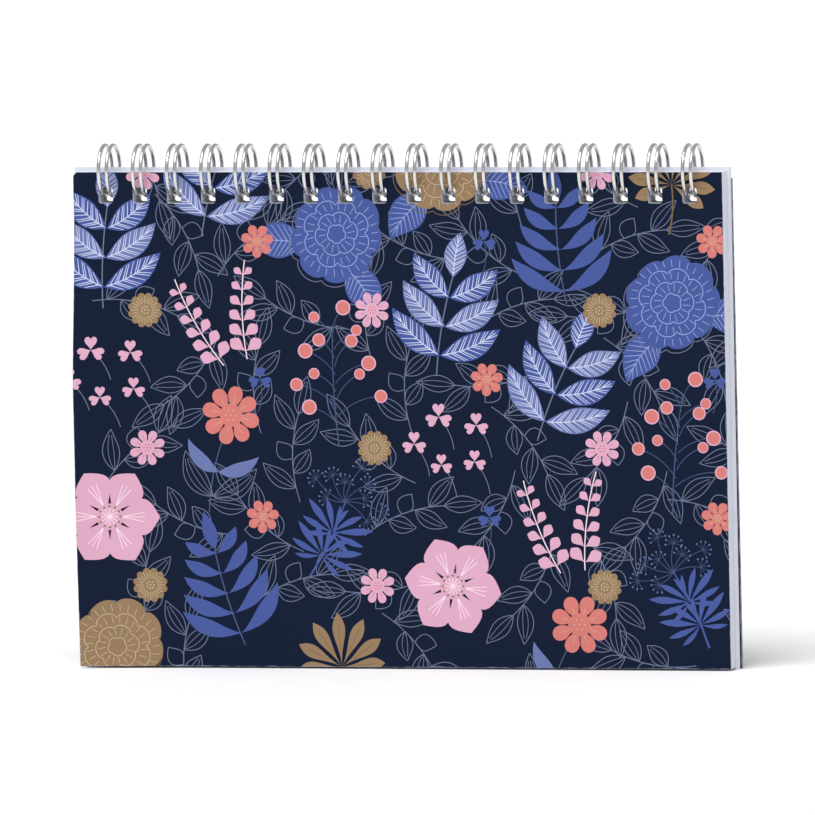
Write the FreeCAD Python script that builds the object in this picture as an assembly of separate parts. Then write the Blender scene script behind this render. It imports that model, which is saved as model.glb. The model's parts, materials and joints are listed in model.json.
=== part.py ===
import FreeCAD, Part

import math
import os

# Flip desk calendar, standing upright and closed. Millimetres.
# X runs along the binding, -Y is the front, +Z is up. The origin is under the middle of the
# binding rings, at the level of the surface that the calendar stands on.

# --- Leaves: the printed card cover and the paper sheets behind it ---
LEAF_WIDTH = 160.0
LEAF_HEIGHT = 118.5
LEAF_LIFT = 0.5  # the leaves hang this far clear of the table
COVER_THICK = 0.45
SHEET_THICK = 0.25
LEAF_GAP = 0.05  # air between neighbouring leaves
COVER_CORNER_CLIP = 0.9
SHEET_NAMES = [
    "january_sheet",
    "february_sheet",
    "march_sheet",
    "april_sheet",
    "may_sheet",
    "june_sheet",
    "july_sheet",
    "august_sheet",
    "september_sheet",
    "october_sheet",
    "november_sheet",
    "december_sheet",
    "year_plan_sheet",
]

# --- Easel: two wrapped boards, the front one fixed and the rear one a swinging leg ---
CORE_THICK = 0.85
WRAP_THICK = 0.15
LINER_THICK = 0.15
WRAP_TURN_IN = 12.0  # border of wrap folded round onto the inner face
LINER_INSET = 2.5  # liner stops this far short of the panel's edges
BOARD_OVERHANG = 0.8  # the boards are this much wider than the leaves, on each side
BOARD_RISE = 0.8  # the front board's top is this much above the leaves' tops
LEG_DROP = 2.0  # the leg's top is this much below them, so that it can swing back
PANEL_GAP = 0.10  # air between the front board and the leg
LEG_SPLAY = 0.6  # degrees that the closed leg stands off at its foot

# --- Twin-loop binding wire, three loops to the inch ---
LOOP_PITCH = 25.4 / 3
LOOP_INSIDE = 11.1
WIRE_DIAMETER = 0.95
TWIN_SPACING = 1.97  # between the two strands of one loop
ELBOW_RADIUS = 1.0
BAR_ANGLE = 79.0  # base bars, measured at the ring centre from straight down to the back
TIP_GAP = 0.33  # air between a loop's closed tip and the base bar
END_STUB = 1.2  # straight wire past the last elbow
RING_LIFT = 0.12  # ring centre above the leaves' top edge
LOOP_MARGIN = 7.0  # least distance from a loop's centre to the leaf's side edge

# --- Punched holes ---
HOLE_WIDTH = 3.5
HOLE_HEIGHT = 3.8
HOLE_CORNER = 0.6
HOLE_CLEARANCE = 0.46  # above the wire, where it leaves the outermost leaf

# --- Worked out from the sizes above ---
WIRE_RADIUS = WIRE_DIAMETER / 2
RING_RADIUS = LOOP_INSIDE / 2 + WIRE_RADIUS
PANEL_THICK = 2 * WRAP_THICK + CORE_THICK + LINER_THICK
SHEET_COUNT = len(SHEET_NAMES)
STACK_THICK = COVER_THICK + SHEET_COUNT * (SHEET_THICK + LEAF_GAP) + LEAF_GAP
BLOCK_THICK = STACK_THICK + PANEL_THICK + PANEL_GAP + PANEL_THICK
FRONT_Y = -BLOCK_THICK / 2
LEAF_TOP = LEAF_LIFT + LEAF_HEIGHT
PANEL_WIDTH = LEAF_WIDTH + 2 * BOARD_OVERHANG
BOARD_HEIGHT = LEAF_TOP + BOARD_RISE
LEG_HEIGHT = LEAF_TOP - LEG_DROP
RING_Z = LEAF_TOP + RING_LIFT
LOOP_COUNT = int((LEAF_WIDTH - 2 * LOOP_MARGIN) / LOOP_PITCH) + 1
WIRE_EXIT_DROP = math.sqrt((RING_RADIUS - WIRE_RADIUS) ** 2 - (BLOCK_THICK / 2) ** 2)
HOLE_TOP = RING_Z - WIRE_EXIT_DROP + HOLE_CLEARANCE


def box(width, depth, height, x_mid, y_low, z_low):
    """A block centred on x_mid, from y_low and z_low upwards."""
    corner = FreeCAD.Vector(x_mid - width / 2, y_low, z_low)
    return Part.makeBox(width, depth, height, corner)


def loop_positions():
    """X of every loop's centre, evenly spaced about the middle."""
    first = -(LOOP_COUNT - 1) / 2 * LOOP_PITCH
    return [first + i * LOOP_PITCH for i in range(LOOP_COUNT)]


def hole_punches():
    """One rounded punch per loop, long enough to go through the whole block."""
    reach = BLOCK_THICK * 2
    punch = box(HOLE_WIDTH, reach, HOLE_HEIGHT, 0, -reach / 2, HOLE_TOP - HOLE_HEIGHT)
    along_y = [e for e in punch.Edges if abs(e.tangentAt(e.FirstParameter).y) > 0.99]
    punch = punch.makeFillet(HOLE_CORNER, along_y)
    return Part.Compound([punch.translated(FreeCAD.Vector(x, 0, 0)) for x in loop_positions()])


def leaf(y_front, thick, punches):
    """A punched rectangle of card or paper."""
    return box(LEAF_WIDTH, thick, LEAF_HEIGHT, 0, y_front, LEAF_LIFT).cut(punches)


def front_cover(punches):
    """The card cover, with its top left corner nipped off."""
    blank = box(LEAF_WIDTH, COVER_THICK, LEAF_HEIGHT, 0, FRONT_Y, LEAF_LIFT)
    corner = [
        e
        for e in blank.Edges
        if e.BoundBox.XMax < -LEAF_WIDTH / 2 + 0.01 and e.BoundBox.ZMin > LEAF_TOP - 0.01
    ]
    return blank.makeChamfer(COVER_CORNER_CLIP, corner).cut(punches)


def sheets(punches):
    """The month sheets and the year plan, one behind another."""
    made = {}
    first_y = FRONT_Y + COVER_THICK + LEAF_GAP
    for i, name in enumerate(SHEET_NAMES):
        made[name] = leaf(first_y + i * (SHEET_THICK + LEAF_GAP), SHEET_THICK, punches)
    return made


def panel(prefix, height, outer_y, inward, punches):
    """A greyboard core in a folded-round wrap, closed by a liner: three glued pieces.

    inward is +1 or -1, the way from the wrapped outer face to the lined inner one."""

    def layer(inset, depth, thick):
        """A flat layer that stops short of the panel's edges, at a depth under the outer face."""
        y_low = min(outer_y + inward * depth, outer_y + inward * (depth + thick))
        return box(PANEL_WIDTH - 2 * inset, thick, height - 2 * inset, 0, y_low, inset)

    turn_in_depth = WRAP_THICK + CORE_THICK
    liner_depth = turn_in_depth + WRAP_THICK
    core = layer(WRAP_THICK, WRAP_THICK, CORE_THICK)
    window = layer(WRAP_TURN_IN, turn_in_depth, WRAP_THICK)
    wrap = layer(0, 0, liner_depth).cut(core).cut(window)
    liner = window.fuse(layer(LINER_INSET, liner_depth, LINER_THICK)).removeSplitter()
    pieces = {"core": core, "wrap": wrap, "liner": liner}
    return {f"{prefix}_{kind}": shape.cut(punches) for kind, shape in pieces.items()}


def front_board(punches):
    """The easel's front board: its wrapped face is towards the sheets."""
    return panel("front_board", BOARD_HEIGHT, FRONT_Y + STACK_THICK, 1, punches)


def rear_leg(punches):
    """The easel's leg: its wrapped face is outside, and its foot stands off a little."""
    made = panel("rear_leg", LEG_HEIGHT, -FRONT_Y, -1, punches)
    for shape in made.values():
        shape.rotate(FreeCAD.Vector(0, 0, RING_Z), FreeCAD.Vector(1, 0, 0), LEG_SPLAY)
    return made


def ring_point(x, angle):
    """Point on the ring's centre line; the angle is in degrees from straight down to the back."""
    a = math.radians(angle)
    return FreeCAD.Vector(x, RING_RADIUS * math.sin(a), RING_Z - RING_RADIUS * math.cos(a))


def ring_tangent(angle):
    """Direction of the ring's centre line as the angle grows."""
    a = math.radians(angle)
    return FreeCAD.Vector(0, math.cos(a), math.sin(a))


def arc(start, middle, end):
    return Part.Arc(start, middle, end).toShape()


def quarter_turn(centre, first, last):
    """A quarter circle from centre + first to centre + last."""
    middle = centre + (first + last) / math.sqrt(2)
    return arc(centre + first, middle, centre + last)


def loop_edges(x, elbow_angle, tip_angle):
    """One twin loop: up the left strand, round the closed tip, and back down the right one."""
    along = FreeCAD.Vector(1, 0, 0)
    side = along * (TWIN_SPACING / 2)
    elbow_side = along * ELBOW_RADIUS
    elbow_down = ring_tangent(elbow_angle) * -ELBOW_RADIUS
    middle_angle = (elbow_angle + tip_angle) / 2
    tip = ring_point(x, tip_angle)
    foot = ring_point(x, elbow_angle)
    top = ring_point(x, middle_angle)
    return [
        quarter_turn(foot - side - elbow_side, elbow_down, elbow_side),
        arc(foot - side, top - side, tip - side),
        arc(tip - side, tip + ring_tangent(tip_angle) * (TWIN_SPACING / 2), tip + side),
        arc(tip + side, top + side, foot + side),
        quarter_turn(foot + side + elbow_side, elbow_side * -1, elbow_down),
    ]


def binding_wire():
    """One wire, bent into a row of twin loops that are joined by short base bars."""
    elbow_angle = BAR_ANGLE + math.degrees(math.atan(ELBOW_RADIUS / RING_RADIUS))
    tip_reach = math.degrees(math.atan(TWIN_SPACING / 2 / RING_RADIUS))
    tip_room = math.degrees((WIRE_DIAMETER + TIP_GAP) / RING_RADIUS)
    tip_angle = 360 + BAR_ANGLE - tip_room - tip_reach
    bar_half = TWIN_SPACING / 2 + ELBOW_RADIUS
    bar_centre = ring_point(0, elbow_angle) - ring_tangent(elbow_angle) * ELBOW_RADIUS

    def bar(x_from, x_to):
        start = FreeCAD.Vector(x_from, bar_centre.y, bar_centre.z)
        end = FreeCAD.Vector(x_to, bar_centre.y, bar_centre.z)
        return Part.LineSegment(start, end).toShape()

    places = loop_positions()
    left_end = places[0] - bar_half - END_STUB
    edges = [bar(left_end, places[0] - bar_half)]
    for i, x in enumerate(places):
        edges += loop_edges(x, elbow_angle, tip_angle)
        last = i == LOOP_COUNT - 1
        next_stop = x + bar_half + END_STUB if last else places[i + 1] - bar_half
        edges.append(bar(x + bar_half, next_stop))

    start = FreeCAD.Vector(left_end, bar_centre.y, bar_centre.z)
    section = Part.Wire([Part.makeCircle(WIRE_RADIUS, start, FreeCAD.Vector(1, 0, 0))])
    path = Part.Wire(edges)
    solid = path.makePipeShell([section], True, False)
    drawn = math.pi * WIRE_RADIUS**2 * path.Length
    print(f"wire: length {path.Length:.1f}, volume {solid.Volume:.1f}, section x length {drawn:.1f}")
    return solid


def main():
    os.makedirs("parts", exist_ok=True)
    punches = hole_punches()
    pieces = {"front_cover": front_cover(punches)}
    pieces.update(sheets(punches))
    pieces.update(front_board(punches))
    pieces.update(rear_leg(punches))
    pieces["binding_wire"] = binding_wire()
    for name, shape in pieces.items():
        solid = shape.Solids[0] if len(shape.Solids) == 1 else shape
        solid.exportStep(f"parts/{name}.step")
    print(f"{len(pieces)} nodes, {LOOP_COUNT} loops, block {BLOCK_THICK:.2f} thick")


main()
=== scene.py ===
import json
import math

import bpy
from mathutils import Matrix, Vector
from mathutils.geometry import delaunay_2d_cdt


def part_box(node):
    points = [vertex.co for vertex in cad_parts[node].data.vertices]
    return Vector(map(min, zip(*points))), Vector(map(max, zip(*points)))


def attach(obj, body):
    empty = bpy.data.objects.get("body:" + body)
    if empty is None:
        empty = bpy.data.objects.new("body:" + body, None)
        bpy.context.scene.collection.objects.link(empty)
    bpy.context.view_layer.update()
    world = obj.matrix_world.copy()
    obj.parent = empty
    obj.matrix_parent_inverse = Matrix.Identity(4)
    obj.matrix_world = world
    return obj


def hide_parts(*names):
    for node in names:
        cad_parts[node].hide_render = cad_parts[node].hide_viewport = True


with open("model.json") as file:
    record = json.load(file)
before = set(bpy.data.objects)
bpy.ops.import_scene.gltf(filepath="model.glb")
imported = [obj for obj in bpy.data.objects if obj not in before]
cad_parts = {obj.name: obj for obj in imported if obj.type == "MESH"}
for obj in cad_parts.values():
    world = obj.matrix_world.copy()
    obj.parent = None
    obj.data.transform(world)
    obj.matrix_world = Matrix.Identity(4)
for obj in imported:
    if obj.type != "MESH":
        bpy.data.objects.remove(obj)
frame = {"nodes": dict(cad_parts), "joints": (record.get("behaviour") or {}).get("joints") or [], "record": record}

# The scene is in metres. The artwork is laid out in millimetres, from a leaf's lower left corner.
MM = 0.001

# --- Sizes shared with the model ---
WIRE_RADIUS = 0.475 * MM
LOOP_PITCH = 25.4 / 3 * MM
LOOP_COUNT = 18
TWIN_SPACING = 1.97 * MM
ELBOW_RADIUS = 1.0 * MM
BAR_ANGLE = 79.0
TIP_GAP = 0.33 * MM
END_STUB = 1.2 * MM
HOLE_SIZE = (3.5, 3.8)
HOLE_CORNER = 0.6
HOLE_CLEARANCE = 0.46 * MM
COVER_CLIP = 0.9
LEG_SPLAY = math.radians(0.6)
LEG_DROP = 2.0 * MM

# --- Looks ---
FILM = 0.02 * MM  # thickness of a printed layer that lies on a surface
EDGE_LIFT = 4.2 * MM  # how far the cover's free left edge has curled forward
LIFT_REACH = 34.0  # width of the curled zone, in print millimetres
FINE_LINE = 0.2
MIDRIB_STEPS = 14

JOINTS = {j["name"]: j for j in frame["joints"]}
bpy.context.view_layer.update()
COVER_LOW, COVER_HIGH = (Vector(c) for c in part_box("front_cover"))
LEG_LOW, LEG_HIGH = (Vector(c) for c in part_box("rear_leg_wrap"))
WIRE_HIGH = Vector(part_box("binding_wire")[1])
RING = Vector(JOINTS["cover_flip"]["pos_m"])
RING_RADIUS = WIRE_HIGH.z - RING.z - WIRE_RADIUS
HALF_BLOCK = -COVER_LOW.y
LEAF_W = (COVER_HIGH.x - COVER_LOW.x) / MM
LEAF_H = (COVER_HIGH.z - COVER_LOW.z) / MM
LEG_W = (LEG_HIGH.x - LEG_LOW.x) / MM
LEG_H = (COVER_HIGH.z - LEG_DROP) / MM
EXIT_DROP = math.sqrt((RING_RADIUS - WIRE_RADIUS) ** 2 - HALF_BLOCK**2)
HOLE_TOP_Z = RING.z - EXIT_DROP + HOLE_CLEARANCE
FIRST_LOOP = -(LOOP_COUNT - 1) / 2 * LOOP_PITCH
LOOPS = [FIRST_LOOP + i * LOOP_PITCH for i in range(LOOP_COUNT)]


def rgb(red, green, blue):
    """Display values of 0 to 255 as a linear colour."""
    parts = [c / 255 for c in (red, green, blue)]
    return tuple(c / 12.92 if c <= 0.04045 else ((c + 0.055) / 1.055) ** 2.4 for c in parts)


INKS = {
    "navy": rgb(14, 26, 49),
    "royal_blue": rgb(70, 88, 152),
    "periwinkle": rgb(104, 117, 168),
    "gold": rgb(147, 121, 92),
    "dark_gold": rgb(120, 96, 64),
    "pale_gold": rgb(194, 173, 138),
    "pink": rgb(217, 166, 191),
    "pale_pink": rgb(250, 222, 234),
    "coral": rgb(208, 121, 115),
    "vein": rgb(198, 204, 232),
    "soft_vein": rgb(150, 162, 214),
    "silver_line": rgb(106, 114, 140),
    "dim_line": rgb(70, 82, 118),
}
NODE_NAMES = [part["node"] for part in frame["record"]["subparts"]]
SHEETS = [name for name in NODE_NAMES if name.endswith("_sheet")]
WEEK_DAYS = 7
CALENDAR_ROWS = 6
MONTH_DAYS = [31, 28, 31, 30, 31, 30, 31, 31, 30, 31, 30, 31]


# ---------------------------------------------------------------- drawing in the plane


class Artwork:
    """Flat inked shapes, in millimetres. A later shape prints over an earlier one."""

    def __init__(self):
        self.shapes = []

    def add(self, ink, outline):
        """Keeps a shape, with its outline running anticlockwise."""
        points = [Vector(p) for p in outline]
        area = sum(a.x * b.y - b.x * a.y for a, b in zip(points, points[1:] + points[:1]))
        self.shapes.append((ink, points if area > 0 else points[::-1]))


def heading(degrees, length=1.0):
    a = math.radians(degrees)
    return Vector((math.cos(a), math.sin(a))) * length


def side_of(direction):
    return Vector((-direction.y, direction.x)).normalized()


def bowed(start, end, bow=0.0, count=10):
    """Points from start to end on a gentle arch. bow is its height as a share of its length."""
    start, end = Vector(start), Vector(end)
    span = end - start
    steps = [i / count for i in range(count + 1)]
    return [start + span * t + side_of(span) * (span.length * bow * 4 * t * (1 - t)) for t in steps]


def smooth(corners, per_span=6):
    """Points on a smooth line through the given corners."""
    line = [Vector(c) for c in corners]
    ends = [line[0] * 2 - line[1], *line, line[-1] * 2 - line[-2]]
    made = []
    for a, b, c, d in zip(ends, ends[1:], ends[2:], ends[3:]):
        for i in range(per_span):
            t = i / per_span
            made.append(
                (b * 2 + (c - a) * t + (a * 2 - b * 5 + c * 4 - d) * t**2
                 + (b * 3 - a - c * 3 + d) * t**3) / 2
            )
    return made + [line[-1]]


def stroke(art, ink, line, width, tip=None):
    """A pen line, as wide as width at its start and tip at its end."""
    tip = width if tip is None else tip
    left, right = [], []
    last = len(line) - 1
    for i, point in enumerate(line):
        along = line[min(i + 1, last)] - line[max(i - 1, 0)]
        half = side_of(along) * ((width + (tip - width) * i / last) / 2)
        left.append(point + half)
        right.append(point - half)
    art.add(ink, left + right[::-1])


def ray(art, ink, centre, angle, inner, outer, width):
    """A straight pen line that points away from a centre."""
    centre = Vector(centre)
    stroke(art, ink, [centre + heading(angle, inner), centre + heading(angle, outer)], width)


def disc(art, ink, centre, radius, count=16):
    art.add(ink, [Vector(centre) + heading(360 * i / count, radius) for i in range(count)])


def margins(midrib, width, fullest):
    """The two edges of a leaf that is widest at the share fullest of its length."""
    power = math.log(0.5) / math.log(fullest)
    last = len(midrib) - 1
    left, right = [], []
    for i in range(1, last):
        swell = math.sin(math.pi * (i / last) ** power)
        half = side_of(midrib[i + 1] - midrib[i - 1]) * (width / 2 * swell)
        left.append(midrib[i] + half)
        right.append(midrib[i] - half)
    return left, right


def leaf(art, ink, root, tip, width, bow=0.0, fullest=0.45):
    midrib = bowed(root, tip, bow, MIDRIB_STEPS)
    left, right = margins(midrib, width, fullest)
    art.add(ink, [midrib[0], *right, midrib[-1], *left[::-1]])


def vein_lines(art, ink, root, tip, width, bow, fullest, count, line):
    """A midrib with pairs of side veins that sweep towards the leaf's tip."""
    steps, ahead = 24, 4
    midrib = bowed(root, tip, bow, steps)
    stroke(art, ink, midrib[1:-2], line * 1.2, line * 0.7)
    left, right = margins(midrib, width * 0.9, fullest)
    for k in range(count):
        i = 2 + round(k * (steps - 4 - ahead) / max(count - 1, 1))
        for edge in (left, right):
            end = edge[min(i + ahead, len(edge)) - 1]
            stroke(art, ink, [midrib[i], (midrib[i] + end) / 2, end], line, line * 0.6)


def veined_leaf(art, ink, vein, root, tip, width, bow=0.0, fullest=0.45, count=8, line=FINE_LINE):
    leaf(art, ink, root, tip, width, bow, fullest)
    vein_lines(art, vein, root, tip, width, bow, fullest, count, line)


def outline_leaf(art, ink, root, tip, width, bow=0.0, ribs=0):
    """A leaf drawn only by its edge, with ribs that run its whole length."""
    midrib = bowed(root, tip, bow, MIDRIB_STEPS)
    left, right = margins(midrib, width, 0.45)
    for edge in (left, right):
        stroke(art, ink, [midrib[0], *edge, midrib[-1]], FINE_LINE)
    for k in range(ribs):
        share = (k + 1) / (ribs + 1) * 2 - 1
        inner = [m.lerp(e, abs(share)) for m, e in zip(midrib[1:-1], left if share > 0 else right)]
        stroke(art, ink, [midrib[0], *inner[:-1]], FINE_LINE * 0.8)


def scalloped(centre, radius, lobes, depth, turn=0.0, wobble=0.0, per_lobe=8):
    """A round outline of rounded lobes."""
    points = []
    total = lobes * per_lobe
    for i in range(total):
        angle = 360 * i / total
        lobe = abs(math.sin(math.radians(angle * lobes / 2)))
        swell = 1 + wobble * math.sin(math.radians(2 * angle + turn * 3))
        reach = radius * swell * (1 - depth * (1 - lobe**0.6))
        points.append(Vector(centre) + heading(angle + turn, reach))
    return points


def ring_stroke(art, ink, outline, width):
    """A closed pen line, drawn in two halves so that each one is a simple shape."""
    half = len(outline) // 2
    stroke(art, ink, outline[: half + 1], width)
    stroke(art, ink, outline[half:] + outline[:1], width)


def blossom(art, ink, centre, radius, petals, turn=0.0, heart="pale_pink", slim=0.62):
    """Separate rounded petals, each with a fine crease, round a dotted heart."""
    centre = Vector(centre)
    width = radius * math.tan(math.pi / petals) * 2 * slim
    for i in range(petals):
        angle = turn + 360 * i / petals
        leaf(art, ink, centre, centre + heading(angle, radius), width, 0, 0.7)
        disc(art, ink, centre + heading(angle, radius * 0.76), width * 0.5, 14)
        ray(art, heart, centre, angle, radius * 0.4, radius * 0.66, 0.14)
    disc(art, ink, centre, radius * 0.4)
    dots(art, heart, centre, radius * 0.18, 6)


def dots(art, ink, centre, radius, count):
    """One small dot with a ring of them round it."""
    size, corners = 0.22, 8
    disc(art, ink, centre, size, corners)
    for i in range(count):
        disc(art, ink, Vector(centre) + heading(360 * i / count, radius), size, corners)


def ruffled_flower(art, ink, line_ink, centre, radius, teeth, heart):
    """A round flower with a toothed edge and fine rays."""
    centre = Vector(centre)
    art.add(ink, scalloped(centre, radius, teeth, 0.17, per_lobe=6))
    for i in range(teeth * 2):
        angle = 180 * i / teeth
        inner, outer = (0.42, 0.72) if i % 2 else (0.38, 0.84)
        ray(art, line_ink, centre, angle, radius * inner, radius * outer, 0.16)
    dots(art, heart, centre, radius * 0.2, 7)


def peony(art, ink, line_ink, centre, radius, turn=0.0, shadow_line="silver_line"):
    """A full round bloom: a scalloped edge, scalloped rings inside, and fine pleats."""
    centre = Vector(centre)
    shifted = centre + Vector((-0.35, -0.75))
    ring_stroke(art, shadow_line, scalloped(shifted, radius * 1.02, 9, 0.1, turn, 0.05), FINE_LINE)
    art.add(ink, scalloped(centre, radius, 9, 0.1, turn, 0.05))
    rings = [(0.72, 8, 30), (0.46, 6, 10), (0.2, 5, 50)]
    for share, lobes, shift in rings:
        ring_stroke(art, line_ink, scalloped(centre, radius * share, lobes, 0.16, turn + shift), FINE_LINE)
    for share, reach, count in ((0.75, 0.15, 30), (0.5, 0.16, 24), (0.24, 0.16, 16)):
        for i in range(count):
            angle = turn + 360 * (i + 0.5) / count
            start = centre + heading(angle, radius * share)
            stroke(art, line_ink, [start, start + heading(angle + 8, radius * reach)], 0.17, 0.12)


def heart_shape(foot, direction, length, width):
    """A heart-shaped leaflet that grows from its point."""
    points = []
    for i in range(16):
        t = math.tau * i / 16
        across = math.sin(t) ** 3
        up = (13 * math.cos(t) - 5 * math.cos(2 * t) - 2 * math.cos(3 * t) - math.cos(4 * t) + 17) / 29
        along = heading(direction)
        points.append(Vector(foot) + along * (length * up) - side_of(along) * (width / 2 * across))
    return points


def clover(art, ink, stem_ink, centre, size, foot):
    """Three heart-shaped leaflets on one thin stem."""
    stroke(art, stem_ink, bowed(centre, foot, 0.08), FINE_LINE)
    for turn in (-114, 0, 114):
        art.add(ink, heart_shape(centre, 90 + turn, size, size * 0.95))


def floret(art, ink, head, direction, size):
    """A tiny ball of dots on short threads."""
    count = 7 if size > 1 else 4
    for i in range(count):
        angle = direction + (i - (count - 1) / 2) * (200 / (count - 1))
        end = Vector(head) + heading(angle, size)
        stroke(art, "dim_line", [Vector(head), end], 0.12)
        disc(art, ink, end, 0.22, 8)


def umbel(art, ink, line, spread, rays, lean):
    """A stem whose head opens into rays, each with a floret."""
    fan = 210
    path = smooth(line)
    stroke(art, ink, path, 0.5, 0.32)
    head = path[-1]
    for i in range(rays):
        angle = lean + (i - (rays - 1) / 2) * (fan / (rays - 1))
        reach = spread * (0.8 + 0.3 * math.sin(i * 2.1))
        end = head + heading(angle, reach)
        stroke(art, "dim_line", bowed(head, end, 0.08), 0.17)
        floret(art, "periwinkle", end, angle, spread * 0.24)


def cut_leaf(art, ink, root, direction, size):
    """A leaf that is deeply cut into five narrow fingers."""
    fan = 104
    for share in (-1, -0.5, 0, 0.5, 1):
        length = size * (1 - 0.32 * abs(share))
        tip = Vector(root) + heading(direction + share * fan / 2, length)
        leaf(art, ink, root, tip, length * 0.17, 0.07 * share, 0.62)


def frond(art, ink, root, tip, pairs, size):
    """A stem with opposite drop-shaped leaflets that get smaller towards the tip."""
    line = bowed(root, tip, 0.04, pairs * 2 + 1)
    stroke(art, "pale_pink", line, 0.26)
    direction = math.degrees(math.atan2(tip[1] - root[1], tip[0] - root[0]))
    for k in range(pairs):
        foot = line[2 * k + 1]
        length = size * (1 - 0.5 * k / pairs)
        for turn in (-52, 52):
            leaf(art, ink, foot, foot + heading(direction + turn, length), length * 0.62, 0, 0.66)


def line_branch(art, root, tip, bow, leaves, length, width, ribs=0, ink="silver_line"):
    """A pen-drawn branch with outlined leaves on both sides and one at its end."""
    line = bowed(root, tip, bow, leaves + 1)
    stroke(art, ink, bowed(root, tip, bow, 18), FINE_LINE * 1.1)
    for i in range(1, leaves + 1):
        along = line[min(i + 1, leaves + 1)] - line[i - 1]
        direction = math.degrees(math.atan2(along.y, along.x))
        turn = 42 if i % 2 else -42
        reach = length * (0.8 + 0.25 * math.sin(i * 1.7))
        end = line[i] + heading(direction + turn, reach)
        outline_leaf(art, ink, line[i], end, width, 0.05 if i % 2 else -0.05, ribs=ribs if i % 3 else 0)
    ahead = (line[-1] - line[-2]).normalized()
    outline_leaf(art, ink, line[-1], line[-1] + ahead * length, width, ribs=ribs)


def palmate_leaf(art, ink, root, direction, size, fingers=9, fan=230.0):
    """Long rounded fingers that spread from one point."""
    for i in range(fingers):
        angle = direction + (i - (fingers - 1) / 2) * fan / (fingers - 1)
        length = size * (0.82 + 0.18 * math.cos(math.radians(angle - direction)))
        tip = Vector(root) + heading(angle, length)
        leaf(art, ink, root, tip, size * 0.24, 0, 0.7)
        ray(art, "dark_gold", root, angle, length * 0.3, length * 0.8, 0.14)


# ---------------------------------------------------------------- the printed pattern


COLUMN_STEP = 28.0  # between the scatter's columns, in print millimetres
ROW_STEP = 33.0
SCATTER_COLUMNS = 6
SCATTER_ROWS = 4
FIRST_SPRIG = (8.0, 3.0)


def placer(middle, turn):
    """Turns a sprig's own across and up into a place on the print."""
    across, up = heading(turn), heading(turn + 90)
    return lambda x, y: Vector(middle) + across * x + up * y


def blue_stem(art, middle, turn):
    """Plain blue leaves in pairs, smaller towards the tip."""
    at = placer(middle, turn)
    stroke(art, "dim_line", bowed(at(0, -15), at(0, 10), 0.03), 0.34)
    for k in range(5):
        root_y, length = -12 + 5.0 * k, 14.5 - 1.7 * k
        for side in (-1, 1):
            tip = at(side * length * 0.85, root_y + length * 0.62)
            leaf(art, "royal_blue", at(0, root_y), tip, 3.9 - 0.25 * k, -0.1 * side, 0.55)
    leaf(art, "royal_blue", at(0, 9), at(0, 18.5), 3.4)


def striped_stem(art, middle, turn, inks=("periwinkle", "royal_blue")):
    """Large leaves with pale veins, in pairs of alternating blues."""
    at = placer(middle, turn)
    stroke(art, "silver_line", bowed(at(0, -16), at(0, 9), 0.03), 0.3)
    for k in range(3):
        root_y = -11 + 7 * k
        for side in (-1, 1):
            tip = at(side * (13.5 - 1.5 * k), root_y + 9)
            veined_leaf(art, inks[k % 2], "vein", at(0, root_y), tip, 6.2, -0.07 * side, 0.48, 11, 0.24)
    veined_leaf(art, inks[1], "vein", at(0, 8), at(0, 19), 5.6, 0.03, 0.48, 10, 0.24)


def round_bloom(art, middle, turn, ink, line_ink, shadow_line):
    """A full bloom on two broad leaves."""
    at = placer(middle, turn)
    for side in (-1, 1):
        root, tip = at(side * 5, -4), at(side * 18, -11)
        veined_leaf(art, "royal_blue", "soft_vein", root, tip, 8.6, 0.08 * side, 0.48, 9)
    peony(art, ink, line_ink, at(0, 2), 11.5, turn, shadow_line)


def wide_blossom(art, middle, turn):
    """One large pink blossom with fine rays and a ring of stamens."""
    centre = Vector(middle)
    petals = 6
    for i in range(petals):
        angle = turn + i * 360 / petals
        leaf(art, "pink", centre, centre + heading(angle, 12), 8.8, 0, 0.66)
        for lean in (-8, 0, 8):
            ray = [centre + heading(angle, 3), centre + heading(angle + lean, 8.4)]
            stroke(art, "pale_pink", ray, 0.17)
    disc(art, "pink", centre, 3.2)
    for i in range(12):
        end = centre + heading(i * 30, 2.5)
        stroke(art, "pale_pink", [centre, end], 0.16)
        disc(art, "gold", end, 0.32, 8)


def berry_branch(art, middle, turn):
    """Coral berries on short threads along both sides of a stem."""
    at = placer(middle, turn)
    stroke(art, "dim_line", bowed(at(0, -16), at(0, 13), 0.02), 0.34, 0.2)
    for k in range(6):
        for side in (-1, 1):
            root_y = -10 + 4 * k + side
            reach = (11 - 1.3 * k) * (0.62 + 0.38 * ((k + (side > 0)) % 2))
            place = at(side * reach, root_y + 4.5 + 1.5 * (k % 2))
            radius = 1.2 + 0.22 * ((2 * k + side) % 3)
            stroke(art, "dim_line", bowed(at(0, root_y), place, 0.1 * side), FINE_LINE)
            disc(art, "pink", place, radius * 1.12, 20)
            disc(art, "coral", place, radius * 0.92, 20)


def umbel_stem(art, middle, turn):
    """An umbel over two deeply cut leaves."""
    at = placer(middle, turn)
    umbel(art, "royal_blue", [at(0, -16), at(0.8, -6), at(0, 4)], 8.5, 9, turn + 90)
    for side in (-1, 1):
        for root_y in (-10, -4):
            cut_leaf(art, "royal_blue", at(0.4, root_y), turn + 90 - side * 62, 10)


def clover_patch(art, middle, turn, ink, stem_ink):
    """Five clovers that stand close together."""
    at = placer(middle, turn)
    for x, y, size in ((-8, 4, 2.9), (0, 8, 3.2), (8, 3, 2.9), (-3.5, -3, 2.6), (4.5, -5, 2.7)):
        clover(art, ink, stem_ink, at(x, y), size, at(x + 0.8, y - 8.5))


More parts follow.
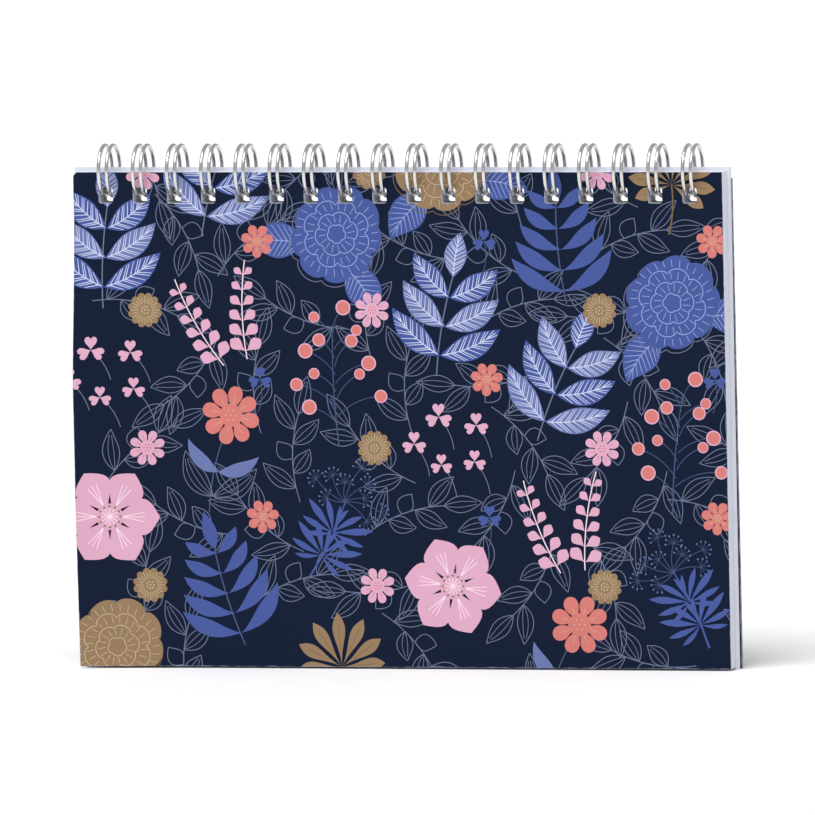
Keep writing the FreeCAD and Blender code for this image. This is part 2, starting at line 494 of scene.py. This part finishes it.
def daisy_stem(art, middle, turn):
    """A coral blossom on a stem with outlined leaves."""
    at = placer(middle, turn)
    stroke(art, "dim_line", bowed(at(0, -16), at(0, 6), 0.05), 0.3)
    for side in (-1, 1):
        outline_leaf(art, "silver_line", at(0, -12), at(side * 9, -3), 5, -0.1 * side, ribs=3)
        leaf(art, "periwinkle", at(0, -6), at(side * 9, 0), 3.4, -0.12 * side)
    blossom(art, "coral", at(0, 8), 7.0, 8, turn, "pale_gold")


def gold_fan(art, middle, turn):
    """A gold leaf of many fingers on its stalk."""
    at = placer(middle, turn)
    stroke(art, "dark_gold", bowed(at(0, -3), at(0.8, -15), 0.05), 0.36)
    palmate_leaf(art, "gold", at(0, -3), turn + 90, 13, 9, 236)


def pink_fronds(art, middle, turn):
    """Two pink fronds that lean apart."""
    at = placer(middle, turn)
    for side in (-1, 1):
        frond(art, "pink", at(side * 3, -13), at(side * 9, 10), 6, 4.8)


def gold_and_blue_bloom(art, middle, turn):
    round_bloom(art, middle, turn, "gold", "pale_gold", "dark_gold")


def blue_bloom(art, middle, turn):
    round_bloom(art, middle, turn, "royal_blue", "soft_vein", "silver_line")


def pink_clovers(art, middle, turn):
    clover_patch(art, middle, turn, "pink", "silver_line")


def royal_striped_stem(art, middle, turn):
    striped_stem(art, middle, turn, ("royal_blue", "periwinkle"))


SPRIGS = [
    gold_and_blue_bloom, umbel_stem, striped_stem, wide_blossom, berry_branch, blue_stem,
    pink_clovers, blue_bloom, daisy_stem, royal_striped_stem, gold_fan, pink_fronds,
]


def small_flower(art, kind, middle):
    """One of the little flowers that fill the scatter's gaps."""
    if kind == 0:
        ruffled_flower(art, "gold", "pale_gold", middle, 4.2, 12, "pale_gold")
    elif kind == 1:
        blossom(art, "coral", middle, 3.8, 7, 10, "pale_gold")
    elif kind == 2:
        blossom(art, "pink", middle, 4.4, 8, 20, "coral", 0.56)
    else:
        clover(art, "royal_blue", "dim_line", middle, 2.8, Vector(middle) - Vector((0.6, 8)))


def botanical_print():
    """A half-drop scatter of sprigs, over pen-drawn branches, with small flowers in the gaps."""
    art = Artwork()
    places = []
    for column in range(SCATTER_COLUMNS):
        for row in range(SCATTER_ROWS):
            offset = Vector((COLUMN_STEP * column, ROW_STEP * (row + (column % 2) / 2)))
            places.append((column, row, Vector(FIRST_SPRIG) + offset))
    gap = Vector((COLUMN_STEP / 3, ROW_STEP / 2))
    second_gap = Vector((COLUMN_STEP * 2 / 3, 0))
    for column, row, middle in places:
        turns = (50 * (column - row), 70 * (row - column))
        for place, turn in zip((middle + gap, middle + second_gap), turns):
            at = placer(place, turn)
            line_branch(art, at(0, -13), at(0, 8), 0.08, 5, 9.5, 4.0, 2)
    for column, row, middle in places:
        turn = (47 * column + 29 * row) % 60 - 30
        SPRIGS[(5 * column + 3 * row) % len(SPRIGS)](art, middle, turn)
    for column, row, middle in places:
        small_flower(art, (column + 2 * row) % 4, middle + gap)
    return art


def leg_artwork():
    """A quiet scatter for the back: clovers between pen-drawn branches."""
    art = Artwork()
    for column in range(6):
        for row in range(4):
            place = Vector((15 + 26 * column + 6 * (row % 2), 16 + 26 * row))
            if (column + row) % 2:
                clover(art, "royal_blue", "dim_line", place, 3.4, place - Vector((0.6, 9)))
            else:
                foot, head = place - Vector((5, 8)), place + Vector((4, 3))
                line_branch(art, foot, head, 0.1, 3, 7, 3.2, 0, "dim_line")
    return art


DIGIT_STROKES = {
    "0": [[(3, 10), (0.7, 8), (0, 5), (0.7, 2), (3, 0)], [(3, 0), (5.3, 2), (6, 5), (5.3, 8), (3, 10)]],
    "1": [[(1, 8), (3.4, 10)], [(3.4, 10), (3.4, 0)]],
    "2": [[(0.4, 7.6), (1.4, 9.5), (3.2, 10), (5.2, 9), (5.4, 7), (3.6, 4), (0.2, 0)], [(0.2, 0), (6, 0)]],
    "3": [[(0.5, 9), (3, 10), (5.2, 8.6), (5, 6.4), (2.8, 5.4)],
          [(2.8, 5.4), (5.4, 4.4), (5.6, 1.8), (3, 0), (0.2, 1)]],
    "4": [[(4.4, 10), (0, 3)], [(0, 3), (6, 3)], [(4.4, 10), (4.4, 0)]],
    "5": [[(5.4, 10), (1.2, 10)], [(1.2, 10), (0.8, 5.8)],
          [(0.8, 5.8), (3.2, 6.3), (5.6, 4.6), (5.3, 1.4), (2.8, 0), (0.2, 1)]],
    "6": [[(4.8, 9.8), (2, 8), (0.3, 4.6), (0.7, 1.4), (3, 0)],
          [(3, 0), (5.5, 1.4), (5.4, 4.8), (3, 6), (0.5, 4.6)]],
    "7": [[(0, 10), (6, 10)], [(6, 10), (2, 0)]],
    "8": [[(3, 10), (0.9, 8.6), (1.2, 6.6), (3, 5.3), (5.4, 3.6), (5.3, 1.2), (3, 0)],
          [(3, 10), (5.1, 8.6), (4.8, 6.6), (3, 5.3), (0.6, 3.6), (0.7, 1.2), (3, 0)]],
    "9": [[(1.2, 0.2), (4, 2), (5.7, 5.4), (5.3, 8.6), (3, 10)],
          [(3, 10), (0.5, 8.6), (0.6, 5.2), (3, 4), (5.5, 5.4)]],
}


def numeral(art, ink, number, corner, height, line):
    """A plain pen-drawn number, from its lower left corner. Its digits are drawn in a 6 by 10 box."""
    scale = height / 10
    for i, digit in enumerate(str(number)):
        start = Vector(corner) + Vector((i * 8.2 * scale, 0))
        for corners in DIGIT_STROKES[digit]:
            points = [start + Vector(c) * scale for c in corners]
            stroke(art, ink, smooth(points, 3) if len(points) > 2 else points, line)


def ruled_grid(art, ink, low, columns, rows, cell, line):
    """Thin crossing lines round columns by rows of equal cells."""
    low = Vector(low)
    width, height = columns * cell[0], rows * cell[1]
    for i in range(columns + 1):
        foot = low + Vector((i * cell[0], 0))
        stroke(art, ink, [foot, foot + Vector((0, height))], line)
    for k in range(rows + 1):
        start = low + Vector((0, k * cell[1]))
        stroke(art, ink, [start, start + Vector((width, 0))], line)


def month_artwork(month, first_day):
    """A month's page: its number, a small sprig, and a ruled grid with the days."""
    art = Artwork()
    cell = (20, 13)
    low = Vector(((LEAF_W - WEEK_DAYS * cell[0]) / 2, 9))
    ruled_grid(art, "silver_line", low, WEEK_DAYS, CALENDAR_ROWS, cell, 0.2)
    for day in range(1, MONTH_DAYS[month] + 1):
        row, column = divmod(first_day + day - 1, WEEK_DAYS)
        corner = low + Vector((column * cell[0] + 1.4, (CALENDAR_ROWS - row) * cell[1] - 4.8))
        numeral(art, "coral" if column == WEEK_DAYS - 1 else "navy", day, corner, 3.4, 0.34)
    numeral(art, "navy", month + 1, (low.x, 93), 9.5, 0.9)
    foot, head = Vector((132, 91)), Vector((147, 101))
    if month % 3 == 0:
        line_branch(art, foot, head, 0.1, 5, 6.5, 2.8)
    elif month % 3 == 1:
        frond(art, "coral", foot, head, 5, 4.4)
    else:
        for x in (134, 140, 146):
            clover(art, "royal_blue", "silver_line", (x, 99), 3.0, (x - 0.5, 91))
    return art


def year_artwork():
    """The year plan: twelve small ruled grids, each with its month's number."""
    art = Artwork()
    for month in range(12):
        row, column = divmod(month, 4)
        low = Vector((10 + 36.5 * column, 74 - 32 * row))
        ruled_grid(art, "silver_line", low, WEEK_DAYS, CALENDAR_ROWS, (4.2, 3.4), 0.14)
        numeral(art, "coral", month + 1, low + Vector((0, 22)), 4.2, 0.4)
    return art


# ---------------------------------------------------------------- closed sheets from artwork


def hole_outlines(bottom_z, sheet_width):
    """The punched holes, as rounded rectangles in print millimetres above bottom_z."""
    width, height = HOLE_SIZE
    top = (HOLE_TOP_Z - bottom_z) / MM
    reach = Vector((width / 2 - HOLE_CORNER, height / 2 - HOLE_CORNER))
    outlines = []
    for x in LOOPS:
        middle = Vector((x / MM + sheet_width / 2, top - height / 2))
        points = []
        for quarter in range(4):
            away = heading(45 + 90 * quarter, math.sqrt(2))
            corner = middle + away * reach
            points += [corner + heading(90 * quarter + 22.5 * i, HOLE_CORNER) for i in range(5)]
        outlines.append(points)
    return outlines


def closed_sheet(name, art, place, thickness, looks, back, outline=None, holes=(), grid=()):
    """A closed thin sheet. Its front is cut into the artwork's inked areas, each with its ink's material.

    Without an outline there is no ground between the inked areas. The back and rim take the last material."""
    points, loops, owner = [], [], []
    inks = list(looks)
    ground = [("ground", outline)] if outline else []
    for ink, shape in [*ground, *art.shapes, *[("hole", h) for h in holes]]:
        loops.append(list(range(len(points), len(points) + len(shape))))
        points += shape
        owner.append(ink)
    points += grid
    kept = {"ground"} if outline else set(inks)
    flat, _, triangles, _, _, sources = delaunay_2d_cdt(points, [], loops, 1, 1e-4, True)
    faces, slots = [], []
    for triangle, inside in zip(triangles, sources):
        over = {owner[i] for i in inside}
        if over & kept and "hole" not in over:
            faces.append(triangle)
            slots.append(inks.index(owner[max(inside)]))
    used = sorted({i for f in faces for i in f})
    index = {old: new for new, old in enumerate(used)}
    faces = [[index[i] for i in f] for f in faces]
    count = len(used)
    edges = {(f[k], f[(k + 1) % 3]) for f in faces for k in range(3)}
    rim = [(a, b) for a, b in edges if (b, a) not in edges]
    verts = [place(flat[i], 0) for i in used] + [place(flat[i], thickness) for i in used]
    backs = [[i + count for i in reversed(f)] for f in faces]
    walls = [[b, a, a + count, b + count] for a, b in sorted(rim)]
    mesh = bpy.data.meshes.new(name)
    mesh.from_pydata(verts, [], faces + backs + walls)
    mesh.polygons.foreach_set("material_index", slots + [len(inks)] * (len(backs) + len(walls)))
    for material in [*looks.values(), back]:
        mesh.materials.append(material)
    mesh.shade_smooth()
    mesh.set_sharp_from_angle(angle=math.radians(40))
    obj = bpy.data.objects.new(name, mesh)
    bpy.context.scene.collection.objects.link(obj)
    return obj


def rectangle(width, height, clip=0.0):
    """A sheet's outline, with its top left corner clipped off."""
    corners = [(0, 0), (width, 0), (width, height)]
    corners += [(clip, height), (0, height - clip)] if clip else [(0, height)]
    return [Vector(c) for c in corners]


# ---------------------------------------------------------------- materials


def add_node(tree, kind, inputs=None, **settings):
    node = tree.nodes.new(kind)
    for key, value in settings.items():
        setattr(node, key, value)
    for key, value in (inputs or {}).items():
        node.inputs[key].default_value = value
    return node


def link(tree, source, target):
    tree.links.new(source, target)


def start_group(name, inputs, outputs):
    """A shader node group with number inputs and outputs."""
    group = bpy.data.node_groups.new(name, "ShaderNodeTree")
    for label, default in inputs:
        socket = group.interface.new_socket(label, in_out="INPUT", socket_type="NodeSocketFloat")
        socket.default_value = default
    for label in outputs:
        group.interface.new_socket(label, in_out="OUTPUT", socket_type="NodeSocketFloat")
    return group, add_node(group, "NodeGroupInput"), add_node(group, "NodeGroupOutput")


def fibre_group():
    """Paper fibre: a soft cloudy tone, and a fine fibrous height."""
    group, given, made = start_group("paper_fibre", [("Scale", 1.0)], ["Cloud", "Height"])
    place = add_node(group, "ShaderNodeTexCoord")
    sized = add_node(group, "ShaderNodeVectorMath", operation="SCALE")
    link(group, place.outputs["Object"], sized.inputs[0])
    link(group, given.outputs["Scale"], sized.inputs["Scale"])
    cloud = add_node(group, "ShaderNodeTexNoise", {"Scale": 90.0, "Detail": 3.0, "Roughness": 0.6})
    fine_grain = {"Scale": 1900.0, "Detail": 5.0, "Roughness": 0.7, "Distortion": 0.6}
    fine = add_node(group, "ShaderNodeTexNoise", fine_grain)
    thread = add_node(group, "ShaderNodeTexVoronoi", {"Scale": 900.0}, feature="DISTANCE_TO_EDGE")
    for texture in (cloud, fine, thread):
        link(group, sized.outputs[0], texture.inputs["Vector"])
    both = add_node(group, "ShaderNodeMath", operation="MULTIPLY_ADD")
    both.inputs[1].default_value = 0.5
    link(group, thread.outputs["Distance"], both.inputs[0])
    link(group, fine.outputs["Fac"], both.inputs[2])
    link(group, cloud.outputs["Fac"], made.inputs["Cloud"])
    link(group, both.outputs[0], made.inputs["Height"])
    return group


def edge_rub_group():
    """A mask that is 1 along a leaf's outer edges and fades inwards, broken up by noise."""
    inputs = [("Half Width", 0.08), ("Low", 0.0), ("High", 0.119), ("Reach", 0.0006)]
    group, given, made = start_group("edge_rub", inputs, ["Mask"])
    place = add_node(group, "ShaderNodeTexCoord")
    split = add_node(group, "ShaderNodeSeparateXYZ")
    link(group, place.outputs["Object"], split.inputs[0])

    def maths(operation, first, second):
        node = add_node(group, "ShaderNodeMath", operation=operation)
        for socket, value in zip(node.inputs, (first, second)):
            if value is not None:
                link(group, value, socket)
        return node.outputs[0]

    side = maths("SUBTRACT", given.outputs["Half Width"], maths("ABSOLUTE", split.outputs["X"], None))
    under = maths("SUBTRACT", split.outputs["Z"], given.outputs["Low"])
    over = maths("SUBTRACT", given.outputs["High"], split.outputs["Z"])
    nearest = maths("MINIMUM", side, maths("MINIMUM", under, over))
    share = maths("DIVIDE", nearest, given.outputs["Reach"])
    noise = add_node(group, "ShaderNodeTexNoise", {"Scale": 420.0, "Detail": 4.0})
    link(group, place.outputs["Object"], noise.inputs["Vector"])
    fade = add_node(group, "ShaderNodeMapRange", {"From Min": 0.25, "From Max": 0.62})
    link(group, maths("SUBTRACT", noise.outputs["Fac"], share), fade.inputs["Value"])
    link(group, fade.outputs["Result"], made.inputs["Mask"])
    return group


def start_material(name, roughness):
    material = bpy.data.materials.new(name)
    material.use_nodes = True
    tree = material.node_tree
    shader = tree.nodes["Principled BSDF"]
    shader.inputs["Roughness"].default_value = roughness
    return material, tree, shader


def tint_between(tree, mask, low, high, shader):
    """Base colour runs from low to high with the mask; returns the colour socket."""
    mix = add_node(tree, "ShaderNodeMix", data_type="RGBA")
    mix.inputs["A"].default_value = (*low, 1)
    mix.inputs["B"].default_value = (*high, 1)
    link(tree, mask, mix.inputs["Factor"])
    link(tree, mix.outputs["Result"], shader.inputs["Base Color"])
    return mix.outputs["Result"]


def spread_roughness(tree, mask, low, high, shader):
    ranged = add_node(tree, "ShaderNodeMapRange", {"To Min": low, "To Max": high})
    link(tree, mask, ranged.inputs["Value"])
    link(tree, ranged.outputs["Result"], shader.inputs["Roughness"])


def raise_surface(tree, height, strength, distance, shader):
    bump = add_node(tree, "ShaderNodeBump", {"Strength": strength, "Distance": distance})
    link(tree, height, bump.inputs["Height"])
    link(tree, bump.outputs["Normal"], shader.inputs["Normal"])


FIBRE = fibre_group()
EDGE_RUB = edge_rub_group()


def shade(colour, share):
    return tuple(min(c * share, 1.0) for c in colour)


def paper(name, colour, roughness=0.85, contrast=0.06, grain=0.35, scale=1.0):
    """Uncoated paper or board with cloudy tone and fibre grain."""
    material, tree, shader = start_material(name, roughness)
    fibre = add_node(tree, "ShaderNodeGroup", node_tree=FIBRE)
    fibre.inputs["Scale"].default_value = scale
    cloud = fibre.outputs["Cloud"]
    tint_between(tree, cloud, shade(colour, 1 - contrast), shade(colour, 1 + contrast), shader)
    spread_roughness(tree, cloud, roughness - 0.06, roughness + 0.06, shader)
    raise_surface(tree, fibre.outputs["Height"], grain, 0.00004, shader)
    return material


def printed_ink(name, colour, half_width, low, high):
    """Ink on matt card: an even tone with a faint mottle, rubbed paler along the sheet's edges."""
    material, tree, shader = start_material(name, 0.5)
    shader.inputs["Specular IOR Level"].default_value = 0.08
    fibre = add_node(tree, "ShaderNodeGroup", node_tree=FIBRE)
    fibre.inputs["Scale"].default_value = 1.4
    rub = add_node(tree, "ShaderNodeGroup", node_tree=EDGE_RUB)
    rub.inputs["Half Width"].default_value = half_width
    rub.inputs["Low"].default_value = low
    rub.inputs["High"].default_value = high
    tone = tint_between(tree, fibre.outputs["Cloud"], shade(colour, 0.93), shade(colour, 1.07), shader)
    worn = add_node(tree, "ShaderNodeMix", data_type="RGBA")
    worn.inputs["B"].default_value = (*rgb(150, 156, 178), 1)
    link(tree, tone, worn.inputs["A"])
    link(tree, rub.outputs["Mask"], worn.inputs["Factor"])
    link(tree, worn.outputs["Result"], shader.inputs["Base Color"])
    spread_roughness(tree, fibre.outputs["Cloud"], 0.42, 0.58, shader)
    raise_surface(tree, fibre.outputs["Height"], 0.22, 0.00003, shader)
    return material


def bright_wire():
    """Drawn steel wire with a bright finish and faint lengthwise variation."""
    material, tree, shader = start_material("bright_wire", 0.22)
    shader.inputs["Metallic"].default_value = 1.0
    place = add_node(tree, "ShaderNodeTexCoord")
    streaks = add_node(tree, "ShaderNodeTexNoise", {"Scale": 900.0, "Detail": 4.0, "Roughness": 0.6})
    patches = add_node(tree, "ShaderNodeTexNoise", {"Scale": 130.0, "Detail": 2.0})
    for texture in (streaks, patches):
        link(tree, place.outputs["Object"], texture.inputs["Vector"])
    tint_between(tree, patches.outputs["Fac"], (0.62, 0.62, 0.61), (0.78, 0.78, 0.77), shader)
    spread_roughness(tree, streaks.outputs["Fac"], 0.16, 0.34, shader)
    raise_surface(tree, streaks.outputs["Fac"], 0.12, 0.00002, shader)
    return material


def greyboard():
    """Recycled board: grey, with darker and paler specks."""
    material, tree, shader = start_material("greyboard", 0.92)
    fibre = add_node(tree, "ShaderNodeGroup", node_tree=FIBRE)
    place = add_node(tree, "ShaderNodeTexCoord")
    specks = add_node(tree, "ShaderNodeTexNoise", {"Scale": 2600.0, "Detail": 2.0})
    link(tree, place.outputs["Object"], specks.inputs["Vector"])
    tint_between(tree, specks.outputs["Fac"], rgb(120, 116, 110), rgb(186, 182, 174), shader)
    raise_surface(tree, fibre.outputs["Height"], 0.5, 0.00006, shader)
    return material


# ---------------------------------------------------------------- pieces


def cover_lift(spot):
    """How far forward the cover stands at a spot: its free left edge has curled a little."""
    near_edge = max(0.0, 1 - spot.x / LIFT_REACH)
    below_binding = min(1.0, max(0.0, (LEAF_H - 8 - spot.y) / 45))
    eased = below_binding * below_binding * (3 - 2 * below_binding)
    return EDGE_LIFT * near_edge**2 * eased * (0.62 + 0.38 * math.sin(math.pi * spot.y / LEAF_H))


def make_cover(art, inks, card):
    """The printed cover, with a curled free edge. A grid of extra points lets the card bend smoothly."""

    def place(spot, depth):
        return COVER_LOW + Vector((spot.x * MM, depth - cover_lift(spot), spot.y * MM))

    step = 2.5
    grid = [Vector((step * i + 0.7, step * k + 0.9)) for i in range(15) for k in range(int(LEAF_H / step))]
    outline = rectangle(LEAF_W, LEAF_H, COVER_CLIP)
    thickness = COVER_HIGH.y - COVER_LOW.y
    looks = {"ground": inks["navy"], **inks}
    cover = closed_sheet("printed_cover", art, place, thickness, looks, card, outline,
                         hole_outlines(COVER_LOW.z, LEAF_W), grid)
    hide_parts("front_cover")
    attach(cover, "cover")


def make_leg_print(inks):
    """The printed face of the leg: a film on its outer side."""
    turn = Matrix.Rotation(LEG_SPLAY, 4, "X")

    def place(spot, depth):
        upright = Vector(((LEG_W / 2 - spot.x) * MM, HALF_BLOCK + FILM - depth, spot.y * MM))
        return RING + turn @ (upright - RING)

    looks = {"ground": inks["navy"], **inks}
    film = closed_sheet("leg_print", leg_artwork(), place, FILM * 0.9, looks, inks["navy"],
                        rectangle(LEG_W, LEG_H), hole_outlines(0.0, LEG_W))
    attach(film, "leg")


def make_sheet_print(sheet, art, inks):
    """The ink on a sheet's front: a film that is there only where something is printed."""
    low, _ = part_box(sheet)

    def place(spot, depth):
        return Vector((low[0] + spot.x * MM, low[1] - FILM + depth, low[2] + spot.y * MM))

    film = closed_sheet(sheet.replace("_sheet", "_print"), art, place, FILM * 0.9, inks, inks["navy"])
    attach(film, sheet.replace("_sheet", "_leaf"))


def ring_point(x, angle):
    a = math.radians(angle)
    return Vector((x, RING.y + RING_RADIUS * math.sin(a), RING.z - RING_RADIUS * math.cos(a)))


def ring_tangent(angle):
    a = math.radians(angle)
    return Vector((0, math.cos(a), math.sin(a)))


def turn_points(centre, first, last, count):
    """Points on the circular turn from centre + first to centre + last."""
    angles = [math.pi / 2 * i / count for i in range(count + 1)]
    return [centre + first * math.cos(a) + last * math.sin(a) for a in angles]


def wire_line():
    """The centre line of the whole binding wire."""
    elbow = BAR_ANGLE + math.degrees(math.atan(ELBOW_RADIUS / RING_RADIUS))
    tip_reach = math.degrees(math.atan(TWIN_SPACING / 2 / RING_RADIUS))
    tip_room = math.degrees((2 * WIRE_RADIUS + TIP_GAP) / RING_RADIUS)
    tip = 360 + BAR_ANGLE - tip_room - tip_reach
    half = TWIN_SPACING / 2
    along = Vector((1, 0, 0))
    down = ring_tangent(elbow) * -ELBOW_RADIUS
    bend = along * ELBOW_RADIUS
    strand_steps = 54
    angles = [elbow + (tip - elbow) * i / strand_steps for i in range(1, strand_steps)]
    first = ring_point(LOOPS[0] - half - ELBOW_RADIUS, elbow) + down
    points = [first - along * END_STUB]
    for x in LOOPS:
        left, right = x - half, x + half
        head = ring_point(x, tip)
        points += turn_points(ring_point(left, elbow) - bend, down, bend, 5)
        points += [ring_point(left, a) for a in angles]
        points += turn_points(head, along * -half, ring_tangent(tip) * half, 6)
        points += turn_points(head, ring_tangent(tip) * half, along * half, 6)[1:]
        points += [ring_point(right, a) for a in reversed(angles)]
        points += turn_points(ring_point(right, elbow) + bend, -bend, down, 5)
    last = points[-1] + along * END_STUB
    return points + [last]


def make_wire(metal):
    curve = bpy.data.curves.new("twin_loop_wire", "CURVE")
    curve.dimensions = "3D"
    curve.bevel_depth = WIRE_RADIUS
    curve.bevel_resolution = 4
    curve.use_fill_caps = True
    line = wire_line()
    spline = curve.splines.new("POLY")
    spline.points.add(len(line) - 1)
    for point, place in zip(spline.points, line):
        point.co = (*place, 1)
    spline.use_smooth = True
    curve.materials.append(metal)
    wire = bpy.data.objects.new("twin_loop_wire", curve)
    bpy.context.scene.collection.objects.link(wire)
    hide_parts("binding_wire")
    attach(wire, "easel")


def dress_cad_nodes(looks):
    """Gives each kept CAD node the material of its slot."""
    for part in frame["record"]["subparts"]:
        material = looks.get(part["material_slot"])
        node = frame["nodes"][part["node"]]
        if material:
            node.data.materials.clear()
            node.data.materials.append(material)


# ---------------------------------------------------------------- the setting


def make_floor():
    size = 14.0
    mesh = bpy.data.meshes.new("floor")
    corners = [(-size, -size, 0), (size, -size, 0), (size, size, 0), (-size, size, 0)]
    mesh.from_pydata(corners, [], [(0, 1, 2, 3)])
    floor = bpy.data.objects.new("floor", mesh)
    bpy.context.scene.collection.objects.link(floor)
    mesh.materials.append(paper("pale_floor", (0.96, 0.96, 0.965), 0.8, 0.01, 0.05))


def make_lights():
    """A soft studio: even grey light all round, and one wide lamp from the front, above and to the left."""
    world = bpy.data.worlds.new("studio")
    world.use_nodes = True
    world.node_tree.nodes["Background"].inputs["Color"].default_value = (1.0, 1.0, 1.0, 1)
    world.node_tree.nodes["Background"].inputs["Strength"].default_value = 0.45
    bpy.context.scene.world = world
    sun = bpy.data.lights.new("wide_lamp", "SUN")
    sun.energy = 2.55
    sun.angle = math.radians(40)
    lamp = bpy.data.objects.new("wide_lamp", sun)
    towards = Vector((-0.12, -0.62, 1.25))
    lamp.rotation_euler = towards.to_track_quat("Z", "Y").to_euler()
    bpy.context.scene.collection.objects.link(lamp)


def make_camera():
    """A long lens, a little to the right of the calendar's front and a little above it."""
    azimuth, elevation, roll = math.radians(15.0), math.radians(4.9), math.radians(-1.15)
    distance = 5.0
    frame_width = 0.1944
    aim = Vector((0.0007, 0, RING.z - 0.0567))
    level = math.cos(elevation)
    back = Vector((math.sin(azimuth) * level, -math.cos(azimuth) * level, math.sin(elevation)))
    data = bpy.data.cameras.new("camera")
    data.sensor_width = 36.0
    data.lens = data.sensor_width * distance / frame_width
    data.clip_end = 60
    camera = bpy.data.objects.new("camera", data)
    camera.location = aim + back * distance
    turned = (-back).to_track_quat("-Z", "Y").to_matrix() @ Matrix.Rotation(roll, 3, "Z")
    camera.rotation_euler = turned.to_euler()
    bpy.context.scene.collection.objects.link(camera)
    bpy.context.scene.camera = camera
    bpy.context.scene.view_settings.view_transform = "Standard"


def main():
    make_camera()
    make_lights()
    make_floor()
    cover_edges = (COVER_HIGH.x, COVER_LOW.z, COVER_HIGH.z)
    leg_edges = (LEG_HIGH.x, 0.0, LEG_H * MM)
    inks = {name: printed_ink("ink_" + name, colour, *cover_edges) for name, colour in INKS.items()}
    leg_colours = ("navy", "royal_blue", "dim_line")
    leg_inks = {name: printed_ink("leg_" + name, INKS[name], *leg_edges) for name in leg_colours}
    page_inks = {name: inks[name] for name in ("navy", "silver_line", "coral", "royal_blue", "pale_pink")}
    card = paper("cover_card", rgb(228, 230, 238), 0.8)
    looks = {
        "sheet_paper": paper("sheet_paper", rgb(226, 229, 240), 0.85),
        "board_core": greyboard(),
        "board_wrap": paper("board_wrap", rgb(220, 223, 234), 0.75, 0.05, 0.3, 0.8),
        "leg_print": leg_inks["navy"],
        "board_liner": paper("board_liner", rgb(224, 226, 232), 0.82, 0.05, 0.4, 0.9),
    }
    make_cover(botanical_print(), inks, card)
    make_leg_print(leg_inks)
    first_day = 3
    for month, days in enumerate(MONTH_DAYS):
        make_sheet_print(SHEETS[month], month_artwork(month, first_day), page_inks)
        first_day = (first_day + days) % WEEK_DAYS
    make_sheet_print(SHEETS[-1], year_artwork(), page_inks)
    make_wire(bright_wire())
    dress_cad_nodes(looks)


main()
